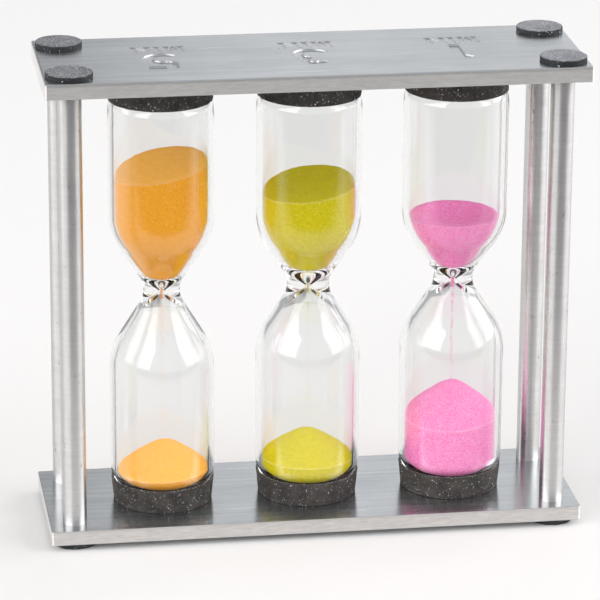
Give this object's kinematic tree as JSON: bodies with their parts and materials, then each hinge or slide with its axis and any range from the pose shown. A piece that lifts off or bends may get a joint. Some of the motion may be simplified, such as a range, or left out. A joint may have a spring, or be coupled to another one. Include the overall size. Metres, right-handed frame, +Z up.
{
  "type": "sand timer",
  "caption": "Set of coloured sand glasses held in rubber collars between flat brushed steel plates joined by round posts.",
  "frame": {"origin": "centre of the footprint, on the surface that the bottom pads stand on", "axes": "+X along the plates towards the glass with the pink sand, +Y to the rear, from where the engraved numerals are read, +Z up"},
  "size_m": [0.112, 0.035, 0.1018],
  "materials": {
    "plate_steel": "brushed along the plates",
    "post_steel": "satin, turned",
    "screw_steel": "plain",
    "pad_rubber": "matt foam rubber with fine light specks",
    "collar_rubber": "matt, with glittering specks",
    "clear_glass": "clear, polished",
    "orange_sand": "fine dry sand",
    "lime_sand": "fine dry sand",
    "pink_sand": "coarse dry sand with sparkling grains"
  },
  "bodies": {
    "root": {"top_plate": "plate_steel", "bottom_plate": "plate_steel", "post_front_left": "post_steel", "post_front_right": "post_steel", "post_rear_left": "post_steel", "post_rear_right": "post_steel", "screw_top_front_left": "screw_steel", "screw_top_front_right": "screw_steel", "screw_top_rear_left": "screw_steel", "screw_top_rear_right": "screw_steel", "screw_bottom_front_left": "screw_steel", "screw_bottom_front_right": "screw_steel", "screw_bottom_rear_left": "screw_steel", "screw_bottom_rear_right": "screw_steel", "pad_top_front_left": "pad_rubber", "pad_top_front_right": "pad_rubber", "pad_top_rear_left": "pad_rubber", "pad_top_rear_right": "pad_rubber", "pad_bottom_front_left": "pad_rubber", "pad_bottom_front_right": "pad_rubber", "pad_bottom_rear_left": "pad_rubber", "pad_bottom_rear_right": "pad_rubber", "collar_top_5min": "collar_rubber", "collar_top_3min": "collar_rubber", "collar_top_1min": "collar_rubber", "collar_bottom_5min": "collar_rubber", "collar_bottom_3min": "collar_rubber", "collar_bottom_1min": "collar_rubber", "glass_5min": "clear_glass", "glass_3min": "clear_glass", "glass_1min": "clear_glass", "sand_upper_5min": "orange_sand", "sand_upper_3min": "lime_sand", "sand_upper_1min": "pink_sand", "sand_stream_5min": "orange_sand", "sand_stream_3min": "lime_sand", "sand_stream_1min": "pink_sand", "sand_lower_5min": "orange_sand", "sand_lower_3min": "lime_sand", "sand_lower_1min": "pink_sand"}
  },
  "joints": []
}
